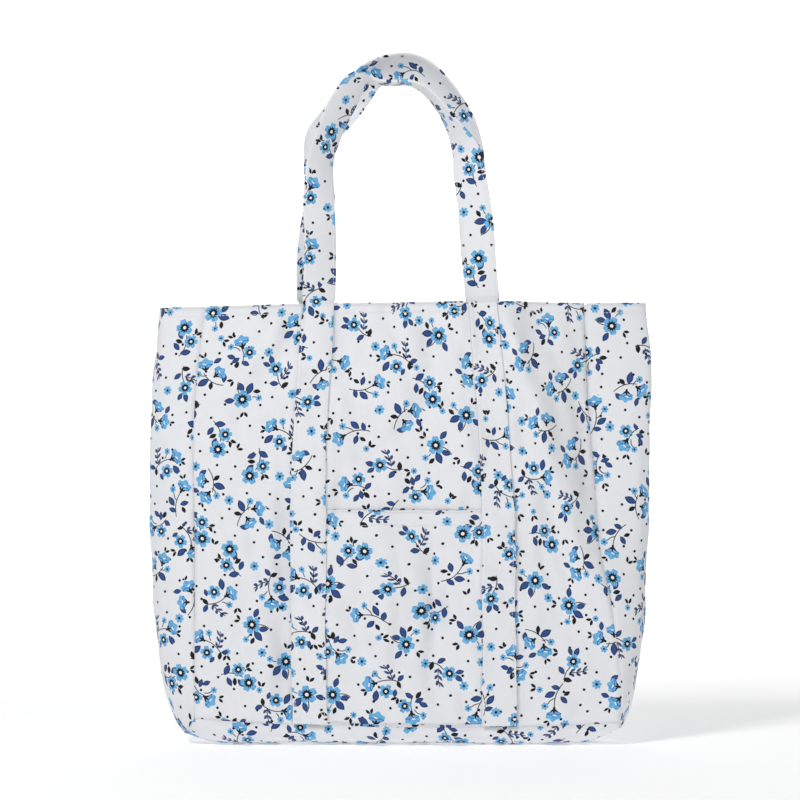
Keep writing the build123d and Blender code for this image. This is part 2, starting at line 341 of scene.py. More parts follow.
def gusset(side, s, h, lift=0.0):
    """Side gusset's points, lifted outward; side is -1 at the left and 1 at the right."""
    s, h = np.broadcast_arrays(np.asarray(s, float), np.asarray(h, float))
    p = gusset_surface(side, s, h)
    if np.all(np.asarray(lift) == 0):
        return p
    before, after = (np.clip(s + step, -0.999, 0.999) for step in (-0.02, 0.02))
    ds = gusset_surface(side, after, h) - gusset_surface(side, before, h)
    dh = gusset_surface(side, s, h + 0.5) - gusset_surface(side, s, h - 0.5)
    n = np.cross(ds, dh)
    n /= np.linalg.norm(n, axis=-1, keepdims=True) + 1e-9
    middle = n[tuple(k // 2 for k in n.shape[:-1])]
    n *= np.sign(middle[0] * side)
    return p + n * np.asarray(lift, float)[..., None]


def base(s, a):
    """Base strip's surface, from the left corner (a -189) to the right one (a 189)."""
    s, a = np.broadcast_arrays(np.asarray(s, float), np.asarray(a, float))
    left_end, right_end = gusset_middle(-1)(0), gusset_middle(1)(0)
    height = knots((-189, 8.5), (-182, 4.8), (-172, 1.6), (-160, 0.5), (-145, 0.5),
                   (145, 0.5), (156, 0.5), (166, 2.0), (178, 7.5), (189, 14))
    front = FRONT.surface(a, 0 * a)
    back = BACK.surface(a, 0 * a)
    share = (a + WALL_HALF) / (2 * WALL_HALF)
    ends = np.clip((np.abs(a) - 158) / 31, 0, 1)
    x = front[..., 0] * (1 - ends**2)
    x = x + ends**2 * (-left_end + share * (left_end + right_end))
    middle = np.stack([x, 0 * a, height(a)], -1)
    power = 2.0 + 1.4 * (1 - ends**2)
    root = 0.87 - 0.45 * (1 - ends**2)
    ripple = 0.05 * np.sin(a / 19.0) * np.sin(3 * s) * (1 - s**2)
    return strip_point(front, back, middle, s, power[..., None], root[..., None],
                       ripple[..., None])


# Meshes


def new_object(name, verts, faces, uvs, materials):
    """Mesh object from millimetre points; uvs are flat millimetres, one per vertex."""
    mesh = bpy.data.meshes.new(name)
    mesh.from_pydata([tuple(v) for v in np.asarray(verts) * MM], [], faces)
    layer = mesh.uv_layers.new(name="flat")
    loops = np.zeros(len(mesh.loops), np.int32)
    mesh.loops.foreach_get("vertex_index", loops)
    layer.data.foreach_set("uv", (np.asarray(uvs)[loops] * MM).astype(np.float32).ravel())
    for material in materials:
        mesh.materials.append(material)
    mesh.polygons.foreach_set("use_smooth", [True] * len(mesh.polygons))
    mesh.update()
    obj = bpy.data.objects.new(name, mesh)
    bpy.context.scene.collection.objects.link(obj)
    return obj


def grid_faces(rows, columns, flip):
    faces = []
    for i in range(rows - 1):
        for j in range(columns - 1):
            a = i * columns + j
            face = (a, a + 1, a + columns + 1, a + columns)
            faces.append(face[::-1] if flip else face)
    return faces


def sheet_object(name, points, uv, outward, materials, thick=CLOTH_THICK):
    """Cloth sheet from a grid of points (rows, columns, 3), given thickness inward."""
    i, j = (count // 2 for count in points.shape[:2])
    n = np.cross(points[i, j + 1] - points[i, j], points[i + 1, j] - points[i, j])
    flip = (n @ np.asarray(outward, float)) < 0
    obj = grid_object(name, points, uv, flip, materials, thick, -1.0)
    if len(materials) > 1:
        obj.modifiers["thickness"].material_offset = 1
    return obj


def grid_object(name, points, uv, flip, materials, thick, offset):
    """Mesh object of a grid of points (rows, columns, 3), with a thickness in millimetres."""
    faces = grid_faces(*points.shape[:2], flip)
    obj = new_object(name, points.reshape(-1, 3), faces, uv.reshape(-1, 2), materials)
    solid = obj.modifiers.new("thickness", "SOLIDIFY")
    solid.thickness = thick * MM
    solid.offset = offset
    return obj


def flat_uv(across, up, shift):
    """Flat coordinates of a grid of points, with the print moved by shift."""
    return np.stack(np.broadcast_arrays(across + shift[0], up + shift[1]), -1)


def spaced(low, high, step):
    return np.linspace(low, high, max(2, int(round(abs(high - low) / step)) + 1))


# Shader maths


class Value:
    """A shader socket that can be used in ordinary sums."""

    def __init__(self, tree, socket):
        self.tree = tree
        self.socket = socket

    def __abs__(self):
        return maths("ABSOLUTE", self)

    def __rsub__(self, other):
        return maths("SUBTRACT", other, self)

    def times_plus(self, factor, extra):
        return maths("MULTIPLY_ADD", self, factor, extra)


def add_operator(name, operation):
    setattr(Value, name, lambda self, other: maths(operation, self, other))


for name, operation in (
    ("__add__", "ADD"), ("__radd__", "ADD"), ("__sub__", "SUBTRACT"),
    ("__mul__", "MULTIPLY"), ("__rmul__", "MULTIPLY"), ("__truediv__", "DIVIDE"),
    ("__lt__", "LESS_THAN"), ("__gt__", "GREATER_THAN"),
):
    add_operator(name, operation)


def feed(socket, value):
    if isinstance(value, Value):
        value.tree.links.new(value.socket, socket)
    else:
        socket.default_value = value


def new_node(kind, *values):
    """A node in the tree of the first of these values that is a shader value."""
    tree = next(value.tree for value in values if isinstance(value, Value))
    return tree.nodes.new("ShaderNode" + kind)


def result(node, output=0):
    return Value(node.id_data, node.outputs[output])


def maths(operation, *values):
    node = new_node("Math", *values)
    node.operation = operation
    for socket, value in zip(node.inputs, values):
        feed(socket, value)
    return result(node)


def vectors(operation, *values, scale=None, output=0):
    node = new_node("VectorMath", *values, scale)
    node.operation = operation
    for socket, value in zip(node.inputs, values):
        feed(socket, value)
    if scale is not None:
        feed(node.inputs["Scale"], scale)
    return result(node, output)


def split(vector):
    node = new_node("SeparateXYZ", vector)
    feed(node.inputs[0], vector)
    return result(node, 0), result(node, 1)


def joined(x, y, z=0.0):
    node = new_node("CombineXYZ", x, y)
    for socket, value in zip(node.inputs, (x, y, z)):
        feed(socket, value)
    return result(node)


def largest(first, *others):
    for other in others:
        first = maths("MAXIMUM", first, other)
    return first


def smallest(first, *others):
    for other in others:
        first = maths("MINIMUM", first, other)
    return first


def random_of(vector):
    """Random value and random colour of a point, the same every time."""
    node = new_node("TexWhiteNoise", vector)
    node.noise_dimensions = "3D"
    feed(node.inputs["Vector"], vector)
    return result(node, "Value"), result(node, "Color")


def clouds(vector, scale, detail=2.0):
    node = new_node("TexNoise", vector)
    feed(node.inputs["Vector"], vector)
    node.inputs["Scale"].default_value = scale
    node.inputs["Detail"].default_value = detail
    return result(node)


def tinted(mask, under, over):
    """Colour over another where the mask is 1."""
    node = new_node("Mix", mask, under, over)
    node.data_type = "RGBA"
    feed(node.inputs["Factor"], mask)
    sockets = {socket.identifier: socket for socket in node.inputs}
    feed(sockets["A_Color"], under)
    feed(sockets["B_Color"], over)
    return result(node, "Result")


def rgb(text):
    """Linear colour of a hex code."""
    parts = [int(text[k:k + 2], 16) / 255 for k in (0, 2, 4)]
    return (*[c / 12.92 if c < 0.04045 else ((c + 0.055) / 1.055) ** 2.4 for c in parts], 1)


INK = rgb("181A22")
NAVY = rgb("314E88")
NAVY_DEEP = rgb("1D2E5A")
SKY = rgb("74B7E3")
SKY_MID = rgb("579FD3")
SKY_DEEP = rgb("2E6BAD")
WHITE = rgb("F0F1F4")
GROUND = rgb("ECEDF0")
GROUND_DIM = rgb("E4E5E9")
BARE = rgb("E9EAEC")  # reverse side's ground
NONE = (0, 0, 0, 0.02)  # an element that a sprig doesn't have


def chosen(chooser, rows):
    """One of several (x, y, angle, size) rows, picked by a value from 0 to 1."""
    node = new_node("ValToRGB", chooser)
    stops = node.color_ramp
    stops.interpolation = "CONSTANT"
    stops.elements[1].position = 1 / len(rows)
    for k in range(2, len(rows)):
        stops.elements.new(k / len(rows))
    for stop, (x, y, angle, size) in zip(stops.elements, rows):
        stop.color = (x / 40 + 0.5, y / 40 + 0.5, (angle % 360) / 360, size / 10)
    feed(node.inputs["Fac"], chooser)
    return result(node, "Color"), result(node, "Alpha")


def placed(vector, location, rotation, scale):
    """A vector in a frame that is moved, turned and scaled."""
    node = new_node("Mapping", vector)
    node.vector_type = "TEXTURE"
    for socket, value in zip(node.inputs, (vector, location, rotation, scale)):
        feed(socket, value)
    return result(node)


def own_frame(p, row, stretch=(10, 10, 10)):
    """p in an element's own frame: from its centre, turned, and divided by its size."""
    colour, size = row
    place = vectors("MULTIPLY_ADD", colour, (40, 40, 0), (-20, -20, 0))
    turn = vectors("MULTIPLY", colour, (0, 0, 2 * math.pi))
    return placed(p, place, turn, vectors("SCALE", stretch, scale=size))


def polar(local):
    x, y = split(local)
    return vectors("LENGTH", local, output=1), maths("ARCTAN2", y, x)


def open_flower(p, row, lobes):
    """Masks of petals, dark ring and pale eye of a flower seen from the front."""
    r, angle = polar(own_frame(p, row))
    turn = maths("COSINE", angle * lobes)
    notch = maths("COSINE", angle * (2 * lobes))
    petals = r < turn.times_plus(0.13, notch.times_plus(-0.07, 0.82))
    spikes = maths("COSINE", angle * 11)
    big = row[1] > 0.5
    ring = r < spikes.times_plus(0.07, big.times_plus(0.20, 0.26))
    eye = (r < 0.17) * big
    return petals, ring, eye


def bell_flower(p, row):
    """Masks of petals, dark strokes, pale fold and calyx of a flower seen from the side."""
    r, angle = polar(own_frame(p, row))
    wide = abs(angle)
    lobes = maths("COSINE", angle * 10 + 0.5)
    rim = lobes.times_plus(0.07, 1.0 - wide * wide * 0.28)
    petals = (r < rim) * (wide < r.times_plus(0.35, 0.70))
    lip = wide * 0.30 + 0.44
    strokes = largest(abs(r - lip) < 0.035, r.times_plus(0.35, 0.60) < wide) * petals
    fold = (abs(r - lip - 0.09) < 0.055) * (abs(angle - 0.10) < 0.22)
    sepals = maths("COSINE", angle * 9).times_plus(0.08, 0.24)
    calyx = r < (wide < 0.9).times_plus(sepals, 0.10)
    return petals, strokes, fold, calyx


def leaf_field(local):
    """Less than 1 inside a pointed leaf that runs from x -1 to 1; also how far from its rib."""
    x, y = split(local)
    return abs(y) + x * x


def leaf(p, row):
    return leaf_field(own_frame(p, row, (10.8, 5.8, 10)))


def leaf_pair(p, row):
    """Two small leaves that spread from one point along x."""
    x, y = split(own_frame(p, row))
    half = joined(x, abs(y))
    local = placed(half, (0.85, 0.60, 0), (0, 0, math.radians(32)), (0.95, 0.44, 1))
    return leaf_field(local)


def twig(p, row):
    """Fields of small leaves in pairs along a thin stem from the origin along x, and the stem."""
    x, y = split(own_frame(p, row))
    bent = y - x * x * 0.25
    cell = joined(maths("FRACT", maths("MAXIMUM", x * 2.7, 0.0)), abs(bent) * 2.7)
    local = placed(cell, (0.54, 0.40, 0), (0, 0, math.radians(38)), (0.50, 0.23, 1))
    outside = (x < 0.0) + (x > 1.11)
    leaves = leaf_field(local) + outside * 9
    return leaves, abs(bent) * row[1] + outside


def stem(p, row):
    x, y = split(own_frame(p, row))
    line = abs(y - (1 - x * x) * 0.26) * row[1]
    return line + (abs(x) > 1.0)


# Elements of the print: one (x, y, angle, size) row for each of seven sprigs, in millimetres
# and degrees. The two ACCENT lists are for the five accents that stand between sprigs.
OPEN_ONE = [(-4.5, -6.5, 0, 6.8), NONE, NONE, (8, -7, 20, 8.6), (-4.5, 4.5, 40, 7.2),
            (2, -1, 0, 8.9), (5, 7.5, 10, 6.6)]
OPEN_TWO = [(4.5, 9, 0, 3.4), (-5.5, 9, 0, 3.6), (0, 10.5, 0, 3.6), (1, 6, 0, 6.8),
            NONE, (-8.5, 9, 0, 3.3), (-1.5, -9.5, 0, 3.3)]
BELL_ONE = [(-2.4, 4.2, 125, 11.6), (0.5, 5.2, 48, 11.6), (-4, 3.2, 165, 11.4), NONE, NONE,
            NONE, (0.5, 1.5, 195, 11.4)]
BELL_TWO = [NONE, (1.6, -4, -12, 10.6), NONE, NONE, NONE, NONE, NONE]
STEM_ONE = [(2.5, -4.5, -62, 10.5), (-0.5, -5, 97, 10.8), (4.5, -3.5, -34, 12.0),
            (-6, 1.5, -16, 10.0), (-2, -7.5, 100, 8.0), (-3, -9.5, 235, 6.5), (7, 0, 4, 8.0)]
STEM_TWO = [(4, 4.5, 75, 2.6), (-3.4, 5.0, 125, 3.4), (1.8, 4.5, -62, 5.2), (9, 4.5, 30, 3.0),
            (-4, 9, 100, 3.0), (-6.5, 6.5, 120, 3.0), (1, -4.5, 60, 4.0)]
LEAF_ONE = [(-12.5, -0.5, 18, 5.0), (-8.5, 0.5, 158, 5.4), (8.5, 3.5, 98, 4.8),
            (-9.5, 7.5, 52, 4.8), (-6.5, 13, 95, 4.2), (-9, -3, 200, 5.4), (14.5, 4, 60, 3.8)]
LEAF_TWO = [(11.5, -12.5, -20, 3.8), (14, 3.5, -22, 3.8), (0.5, -6.5, 28, 4.0),
            (-9.5, -3, -74, 4.2), (-11.5, 10.5, 140, 3.6), (-5, -9.5, 250, 4.4),
            (11, -5, -62, 3.8)]
LEAF_THREE = [(-2.5, -14, 205, 3.2), (6, -12, 35, 4.0), (13, -3, 62, 3.8), (1, -6, -58, 4.2),
              (-8.5, -8, 160, 4.0), (10.5, -8.5, -45, 4.4), (7.5, -9, 250, 3.8)]
BLACK_LEAF = [(5.5, -13.5, 235, 3.4), (-6.5, -7, 215, 3.4), (5, -10.5, -75, 3.0),
              (-4.5, -3.8, 78, 3.4), (0.5, -12, 20, 3.8), (-11.5, 3.5, 130, 3.2),
              (15.5, -4, -30, 3.4)]
PAIR = [(-12, 8.5, 150, 2.8), (9, 14.5, 70, 2.6), (-14, 10, 120, 2.6), (8, 6, 5, 3.2), NONE,
        (9, 8, 45, 3.0), (-9.5, -7.5, 215, 2.8)]
TWIG = [(6.5, -6.5, 42, 13.5), NONE, NONE, NONE, (-2, -5.5, 28, 14), NONE, NONE]
ACCENT_FLOWER = [(0, 0, 0, 4.8), NONE, (-2.5, -1, 0, 3.2), NONE, (0, 0, 30, 4.6)]
ACCENT_LEAVES = [NONE, NONE, (0.5, 0.5, 45, 3.0), (-2, 0, 20, 3.0), NONE]
CELL = (42.0, 38.5)
DOT_CELL = 16.5


def cell_frame(x, y, shift, seed, jitter):
    """Place in the nearest cell of staggered rows, turned by chance; also a random value."""
    row = maths("FLOOR", y / CELL[1])
    row_random, _ = random_of(joined(row, 3.7, 1.9))
    across_row = x / CELL[0] + row_random * 7 + shift
    column = maths("FLOOR", across_row)
    value, colour = random_of(joined(column, row, seed))
    fx = (across_row - column - 0.5) * CELL[0]
    fy = (y / CELL[1] - row - 0.5) * CELL[1]
    moved = vectors("MULTIPLY_ADD", colour, (2 * jitter[0], 2 * jitter[1], 0),
                    (-jitter[0], -jitter[1], 0))
    local = vectors("ADD", joined(fx, fy), moved)
    turn = new_node("VectorRotate", local)
    turn.rotation_type = "Z_AXIS"
    feed(turn.inputs["Vector"], local)
    blue = vectors("DOT_PRODUCT", colour, (0, 0, 2 * math.pi), output=1)
    feed(turn.inputs["Angle"], blue)
    return result(turn), value


def dots(flat):
    """Mask of small dots, one in each cell."""
    grid = vectors("SCALE", flat, scale=1 / DOT_CELL)
    cell = vectors("FLOOR", grid)
    _, place = random_of(cell)
    offset = vectors("MULTIPLY_ADD", place, (0.55, 0.55, 0), (0.22, 0.22, 0))
    return vectors("DISTANCE", vectors("SUBTRACT", grid, cell), offset, output=1) < 0.075


def sprig_blooms(p, chooser):
    """Masks of a sprig's petals, black marks, pale eyes, and its bells' strokes and folds."""
    petals_1, ring_1, eye_1 = open_flower(p, chosen(chooser, OPEN_ONE), 5)
    petals_2, ring_2, eye_2 = open_flower(p, chosen(chooser, OPEN_TWO), 6)
    bell_1, strokes_1, fold_1, calyx_1 = bell_flower(p, chosen(chooser, BELL_ONE))
    bell_2, strokes_2, fold_2, calyx_2 = bell_flower(p, chosen(chooser, BELL_TWO))
    petals = largest(petals_1, petals_2, bell_1, bell_2)
    marks = largest(ring_1, ring_2, calyx_1, calyx_2)
    return (petals, marks, largest(eye_1, eye_2), largest(strokes_1, strokes_2),
            largest(fold_1, fold_2))


def sprig_leaves(p, chooser):
    """Fields of a sprig's navy leaves, black leaves and stems."""
    twig_leaves, twig_stem = twig(p, chosen(chooser, TWIG))
    leaves = [leaf(p, chosen(chooser, rows)) for rows in (LEAF_ONE, LEAF_TWO, LEAF_THREE)]
    pair = leaf_pair(p, chosen(chooser, PAIR))
    black_leaves = smallest(pair, leaf(p, chosen(chooser, BLACK_LEAF)))
    stems = [stem(p, chosen(chooser, rows)) for rows in (STEM_ONE, STEM_TWO)]
    return smallest(twig_leaves, *leaves), black_leaves, smallest(twig_stem, *stems)


def print_colour(flat):
    """Colour of the print at a place in flat millimetres."""
    x, y = split(flat)
    p, chooser = cell_frame(x, y, 0.0, 0.5, (3.0, 4.5))
    petals, marks, eyes, strokes, folds = sprig_blooms(p, chooser)
    leaves, black_leaves, stems = sprig_leaves(p, chooser)
    q, accent = cell_frame(x, y, 0.5, 8.5, (2.0, 9.5))
    accent_petals, accent_ring, _ = open_flower(q, chosen(accent, ACCENT_FLOWER), 7)
    accent_leaves = leaf_pair(q, chosen(accent, ACCENT_LEAVES))
    blue = tinted((clouds(flat, 0.35) - 0.42) * 4, SKY, SKY_MID)
    blue = tinted(strokes, blue, SKY_DEEP)
    blue = tinted(folds, blue, WHITE)
    navy = tinted((leaves > 0.66) * 0.8, NAVY, NAVY_DEEP)
    colour = tinted(clouds(flat, 0.05), GROUND, GROUND_DIM)
    for mask, over in (
        (largest(dots(flat), accent_leaves < 1.0), INK), (accent_petals, blue),
        (accent_ring, INK), (stems < 0.042, INK), (leaves < 1.0, navy),
        (black_leaves < 1.0, INK), (petals, blue), (marks, INK), (eyes, WHITE),
    ):
        colour = tinted(mask, colour, over)
    return colour


def print_group():
    """Node group: flat millimetres in, print colour out."""
    tree = bpy.data.node_groups.new("flower_print", "ShaderNodeTree")
    tree.interface.new_socket("Flat", in_out="INPUT", socket_type="NodeSocketVector")
    tree.interface.new_socket("Colour", in_out="OUTPUT", socket_type="NodeSocketColor")
    entry = tree.nodes.new("NodeGroupInput")
    end = tree.nodes.new("NodeGroupOutput")
    feed(end.inputs["Colour"], print_colour(result(entry)))
    return tree


def weave_height(flat):
    """Plain weave of about two yarns a millimetre, a little uneven."""
    uneven = clouds(flat, 0.5, 3.0)
    x, y = split(flat)
    warp = maths("SINE", x.times_plus(2 * math.pi / 0.62, uneven * 5))
    weft = maths("SINE", y.times_plus(2 * math.pi / 0.62, uneven * 5))
    return warp * weft * 0.5 + clouds(flat, 1.1, 3.0)


def new_material(name):
    material = bpy.data.materials.new(name)
    material.use_nodes = True
    tree = material.node_tree
    return material, tree, tree.nodes["Principled BSDF"]


def add_bump(shader, strength, height):
    bump = new_node("Bump", height)
    bump.inputs["Strength"].default_value = strength
    bump.inputs["Distance"].default_value = BUMP_DEPTH
    feed(bump.inputs["Height"], height)
    feed(shader.inputs["Normal"], result(bump))


def cloth_material(name, group, fade):
    """Printed cotton; fade mixes the print towards the bare ground, as on a reverse side."""
    material, tree, shader = new_material(name)
    uv = tree.nodes.new("ShaderNodeUVMap")
    uv.uv_map = "flat"
    mapping = tree.nodes.new("ShaderNodeMapping")
    mapping.inputs["Scale"].default_value = (1 / MM, 1 / MM, 1 / MM)
    mapping.inputs["Rotation"].default_value = (0, 0, math.radians(PRINT_TURN))
    tree.links.new(uv.outputs[0], mapping.inputs["Vector"])
    flat = result(mapping)
    floral = tree.nodes.new("ShaderNodeGroup")
    floral.node_tree = group
    feed(floral.inputs[0], flat)
    colour = result(floral)
    if fade:
        colour = tinted(fade, colour, BARE)
    height = weave_height(flat)
    # Partly painted shade: the colour is darkened where the weave's height is low, in the hollows
    # between yarns; the rest of this change is the yarns' random unevenness.
    colour = vectors("SCALE", colour, scale=height.times_plus(0.05, 0.955))
    feed(shader.inputs["Base Color"], colour)
    feed(shader.inputs["Roughness"], clouds(flat, 0.3).times_plus(0.16, 0.78))
    shader.inputs["Specular IOR Level"].default_value = 0.25
    shader.inputs["Sheen Weight"].default_value = 0.12
    shader.inputs["Sheen Roughness"].default_value = 0.5
    add_bump(shader, 0.25, height)
    return material


def woven_material(name, light, dark, pitch):
    """Thread or tape: fine yarns across its own directions."""
    material, tree, shader = new_material(name)
    place = tree.nodes.new("ShaderNodeTexCoord")
    p = vectors("SCALE", result(place, "Object"), scale=1 / MM)
    fibres = clouds(p, 1.6 / pitch, 3.0)
    x, y = split(p)
    twist = maths("SINE", (x + y * 0.6) * (2 * math.pi / pitch))
    feed(shader.inputs["Base Color"], tinted(fibres, light, dark))
    feed(shader.inputs["Roughness"], fibres.times_plus(0.2, 0.66))
    shader.inputs["Sheen Weight"].default_value = 0.15
    add_bump(shader, 0.3, twist * 0.5 + fibres)
    return material


FLORAL = print_group()
PRINT = cloth_material("printed_cotton", FLORAL, 0)
REVERSE = cloth_material("printed_cotton_reverse", FLORAL, 0.72)
STRAP_PRINT = cloth_material("printed_strap", FLORAL, 0)
THREAD = woven_material("white_thread", rgb("F6F6F6"), rgb("DADBDE"), 0.4)
TAPE = woven_material("binding_tape", rgb("F0EFEC"), rgb("DFDEDA"), 0.8)


# Walls, gussets, base


def wall_columns():
    """Flat distances across a wall, closer together at the side seams."""
    return np.concatenate([
        spaced(-WALL_HALF, -181, 1.0), spaced(-178, 178, 3.4), spaced(181, WALL_HALF, 1.0)
    ])[None, :]


def wall_cloth(name, wall, shift):
    """Cloth of one wall; shift moves the print on it, as in the other pieces."""
    a = wall_columns()
    h = spaced(0, WALL_HIGH - 1.2, 3.6)[:, None]
    points = wall.point(a + 0 * h, h + 0 * a)
    uv = flat_uv(a, h, shift)
    return sheet_object(name, points, uv, (0, wall.side, 0), [PRINT, REVERSE])


def gusset_cloth(name, side, shift):
    s = spaced(-1, 1, 0.05)[None, :]
    h = np.append(spaced(0, 60, 2.5), spaced(63, WALL_HIGH - 1.2, 3.6))[:, None]
    points = gusset(side, s, h)
    uv = flat_uv(run_along(points), h, shift)
    return sheet_object(name, points, uv, (side, 0, 0), [PRINT, REVERSE])


def run_along(points):
    """Length along each row of a grid of points, from the row's middle."""
    steps = np.linalg.norm(np.diff(points, axis=1), axis=-1)
    run = np.concatenate([np.zeros((len(points), 1)), np.cumsum(steps, axis=1)], axis=1)
    return run - run[:, -1:] / 2


def base_cloth(name, shift):
    s = spaced(-1, 1, 0.05)[:, None]
    a = spaced(-WALL_HALF, WALL_HALF, 3.6)[None, :]
    points = base(s, a)
    deep = run_along(points.transpose(1, 0, 2)).T
    uv = flat_uv(a, deep, shift)
    return sheet_object(name, points, uv, (0, 0, -1), [PRINT, REVERSE])


def fold_profile(deep):
    """Heights and lifts of a turned hem: up the outside, over the fold and down inside."""
    rows = [(-1.2, 0.0), (-0.5, 0.0), (0.1, -0.25), (0.35, -0.8), (0.1, -1.35), (-0.5, -1.6)]
    for drop in spaced(2, deep, 3.0):
        rows.append((-drop, -1.6))
    return np.array(rows)


def hem_cloth(name, points, run, rows, high, shift):
    """A turned hem: run is flat distance along it, and rows its fold_profile."""
    length = np.cumsum(np.hypot(*np.diff(rows, axis=0, prepend=rows[:1]).T))[:, None]
    uv = flat_uv(run, high + length, shift)
    obj = sheet_object(name, points, uv, (0, 0, 1), [PRINT], HEM_THICK)
    first = obj.data.polygons[0]
    if first.normal.x * first.center.x + first.normal.y * first.center.y < 0:
        obj.modifiers["thickness"].offset = 1.0  # thickness stays inside the fold
    return obj


def wall_hem(name, wall, shift):
    a = wall_columns()
    rows = fold_profile(HEM_DEEP)
    h = WALL_HIGH + rows[:, :1] + 0 * a
    points = wall.point(a + 0 * h, h, rows[:, 1:] + 0 * a)
    return hem_cloth(name, points, a, rows, WALL_HIGH, shift)


def gusset_hem(name, side, shift):
    s = spaced(-0.985, 0.985, 0.05)[None, :]
    rows = fold_profile(HEM_DEEP)
    h = WALL_HIGH + rows[:, :1] + 0 * s
    points = gusset(side, s + 0 * h, h, rows[:, 1:] + 0 * s)
    return hem_cloth(name, points, run_along(points), rows, WALL_HIGH, shift)


# Pocket


def pocket_lift(a, h):
    """How far the pocket's cloth stands off the wall."""
    share = h / POCKET_HIGH
    full = np.clip(1 - (np.abs(a) / 70.0) ** 3, 0, 1)
    lift = 1.0 + 2.4 * full * ease(share * 1.3)
    lift = lift + 0.5 * full * np.sin(a / 11.0 + 1.2) * ease(share)
    lift = lift + full * crease(a, h, (30, 200), (24, 10), 8, -1.4)
    lift = lift + full * crease(a, h, (2, 195), (6, 60), 10, 0.9)
    lift = lift + full * crease(a, h, (-50, 190), (-38, 90), 9, 0.7)
    return lift


def pocket_cloth(name, shift):
    a = spaced(-POCKET_HALF, POCKET_HALF, 3.0)[None, :]
    h = spaced(2.5, POCKET_HIGH - 1.2, 3.2)[:, None]
    a, h = np.broadcast_arrays(a, h)
    points = FRONT.point(a, h, pocket_lift(a, h))
    return sheet_object(name, points, flat_uv(a, h, shift), (0, -1, 0), [PRINT, REVERSE])


def pocket_hem(name, shift):
    a = spaced(-POCKET_HALF, POCKET_HALF, 3.0)[None, :]
    rows = fold_profile(POCKET_HEM)
    h = POCKET_HIGH + rows[:, :1] + 0 * a
    a = a + 0 * h
    tuck = np.clip(pocket_lift(a, h) - 1.0, 0, 2.0) / 2.0
    lift = pocket_lift(a, np.minimum(h, POCKET_HIGH)) + rows[:, 1:] * (0.35 + 0.65 * tuck)
    return hem_cloth(name, FRONT.point(a, h, lift), a, rows, POCKET_HIGH, shift)


# Straps: one length each, up a wall, round the loop and down again

FRONT_LOOP = [  # x, y, z of the middle line, twist in degrees
    (-72.4, -35.5, 396, 14), (-71.3, -35, 424, 22), (-71.2, -34, 451, 25),
    (-72.5, -33, 475, 23), (-72.4, -32, 495, 32), (-70.6, -30, 520, 42),
    (-64.4, -27.5, 539.2, 42), (-57.2, -25.5, 556.6, 40), (-47.6, -24, 574.1, 44),
    (-39.4, -23, 586.2, 56), (-31.5, -22.3, 590.6, 70), (-25.5, -22, 587.5, 84),
    (-12, -22, 586, 90), (9.2, -22, 585.3, 88), (18.6, -22.3, 581, 84), (30.9, -23, 569.6, 79),
    (42.2, -24.5, 553.3, 72), (50.5, -26, 539.2, 58), (57.5, -27.5, 524.6, 38),
    (60.6, -29, 503.9, 20), (64.2, -31, 480.3, 12), (67.2, -32.8, 456.7, 9),
    (69.0, -34.3, 425.3, 7), (71.5, -35.5, 396, 5),
]
BACK_LOOP = [
    (-79, 35, 396, -8), (-79.6, 34.5, 429, -12), (-76, 32.5, 466, -20), (-73, 31, 484, -26),
    (-74, 29, 502, -31), (-75.2, 25, 521, -33), (-73.2, 20, 540, -28), (-60.2, 14, 554.6, -10),
    (-41.2, 9, 576.2, 22), (-25, 6, 594.8, 36), (-8, 4, 600.8, 38), (3, 4, 602, 38),
    (12, 4, 600.4, 38), (22, 4.5, 594.8, 38), (35.5, 7, 581, 38), (46, 10, 566.8, 38),
    (55.5, 14, 549.5, 37), (60.2, 18, 533, 35), (63, 24, 505.5, 30), (66, 30, 470, 20),
    (69.5, 34, 430, 12), (73.3, 35, 396, 6),
]


def strap_frames(wall, loop):
    """Stations along one strap: rows of outer-face points, and the length run so far."""
    w = spaced(-STRAP_HALF, STRAP_HALF, 2.5)
    run_h = np.append(spaced(1, WALL_HIGH - 12, 3.0), spaced(WALL_HIGH - 9, WALL_HIGH - 1, 2.0))
    rows = np.concatenate([
        strap_run(wall, -1, run_h, w), loop_rows(wall, loop, w), strap_run(wall, 1, run_h[::-1], w)
    ])
    return rows, run_length(rows[:, len(w) // 2]), w


def run_length(points):
    """Length along a line of points, from its first one."""
    return np.append(0, np.cumsum(np.linalg.norm(np.diff(points, axis=0), axis=1)))


def loop_rows(wall, loop, w):
    """Rows of outer-face points round a handle's loop, cupped a little at its top."""
    path = np.array(loop)
    steps = run_length(path[:, :3])
    line = knots(*[(t, *p) for t, p in zip(steps, path)])
    at = spaced(0, steps[-1], 3.0)
    centre = line(at)
    tangent = unit(np.gradient(centre[:, :3], axis=0))
    flat = unit(tangent * (1, 0, 1))
    outward = np.stack([-flat[:, 2], 0 * flat[:, 0], flat[:, 0]], -1)
    twist = np.radians(centre[:, 3])[:, None]
    width = -np.cos(twist) * outward + np.sin(twist) * np.array([0, 1.0, 0])
    normal = np.cross(width, tangent) * (-wall.side)
    cup = 2.0 * np.sin(math.pi * at / steps[-1])[:, None] ** 0.5 * (1 - (w / STRAP_HALF) ** 2)
    body = centre[:, None, :3] + width[:, None] * w[None, :, None]
    return body + normal[:, None] * (STRAP_THICK / 2 + cup)[..., None]


def strap_run(wall, side, h, w):
    """Rows of a sewn run; side is -1 for the left. The first column is away from the middle."""
    across_wall = side * (STRAP_FLAT - w[None, :])
    a = np.broadcast_to(across_wall, (len(h), len(w)))
    hh = np.broadcast_to(h[:, None], a.shape)
    lift = 0.1 + STRAP_THICK + 0 * a
    if wall is FRONT:
        lift = lift + 1.0 * (1 - ease((hh - POCKET_HIGH) / 6))
    return wall.point(a, hh, lift)


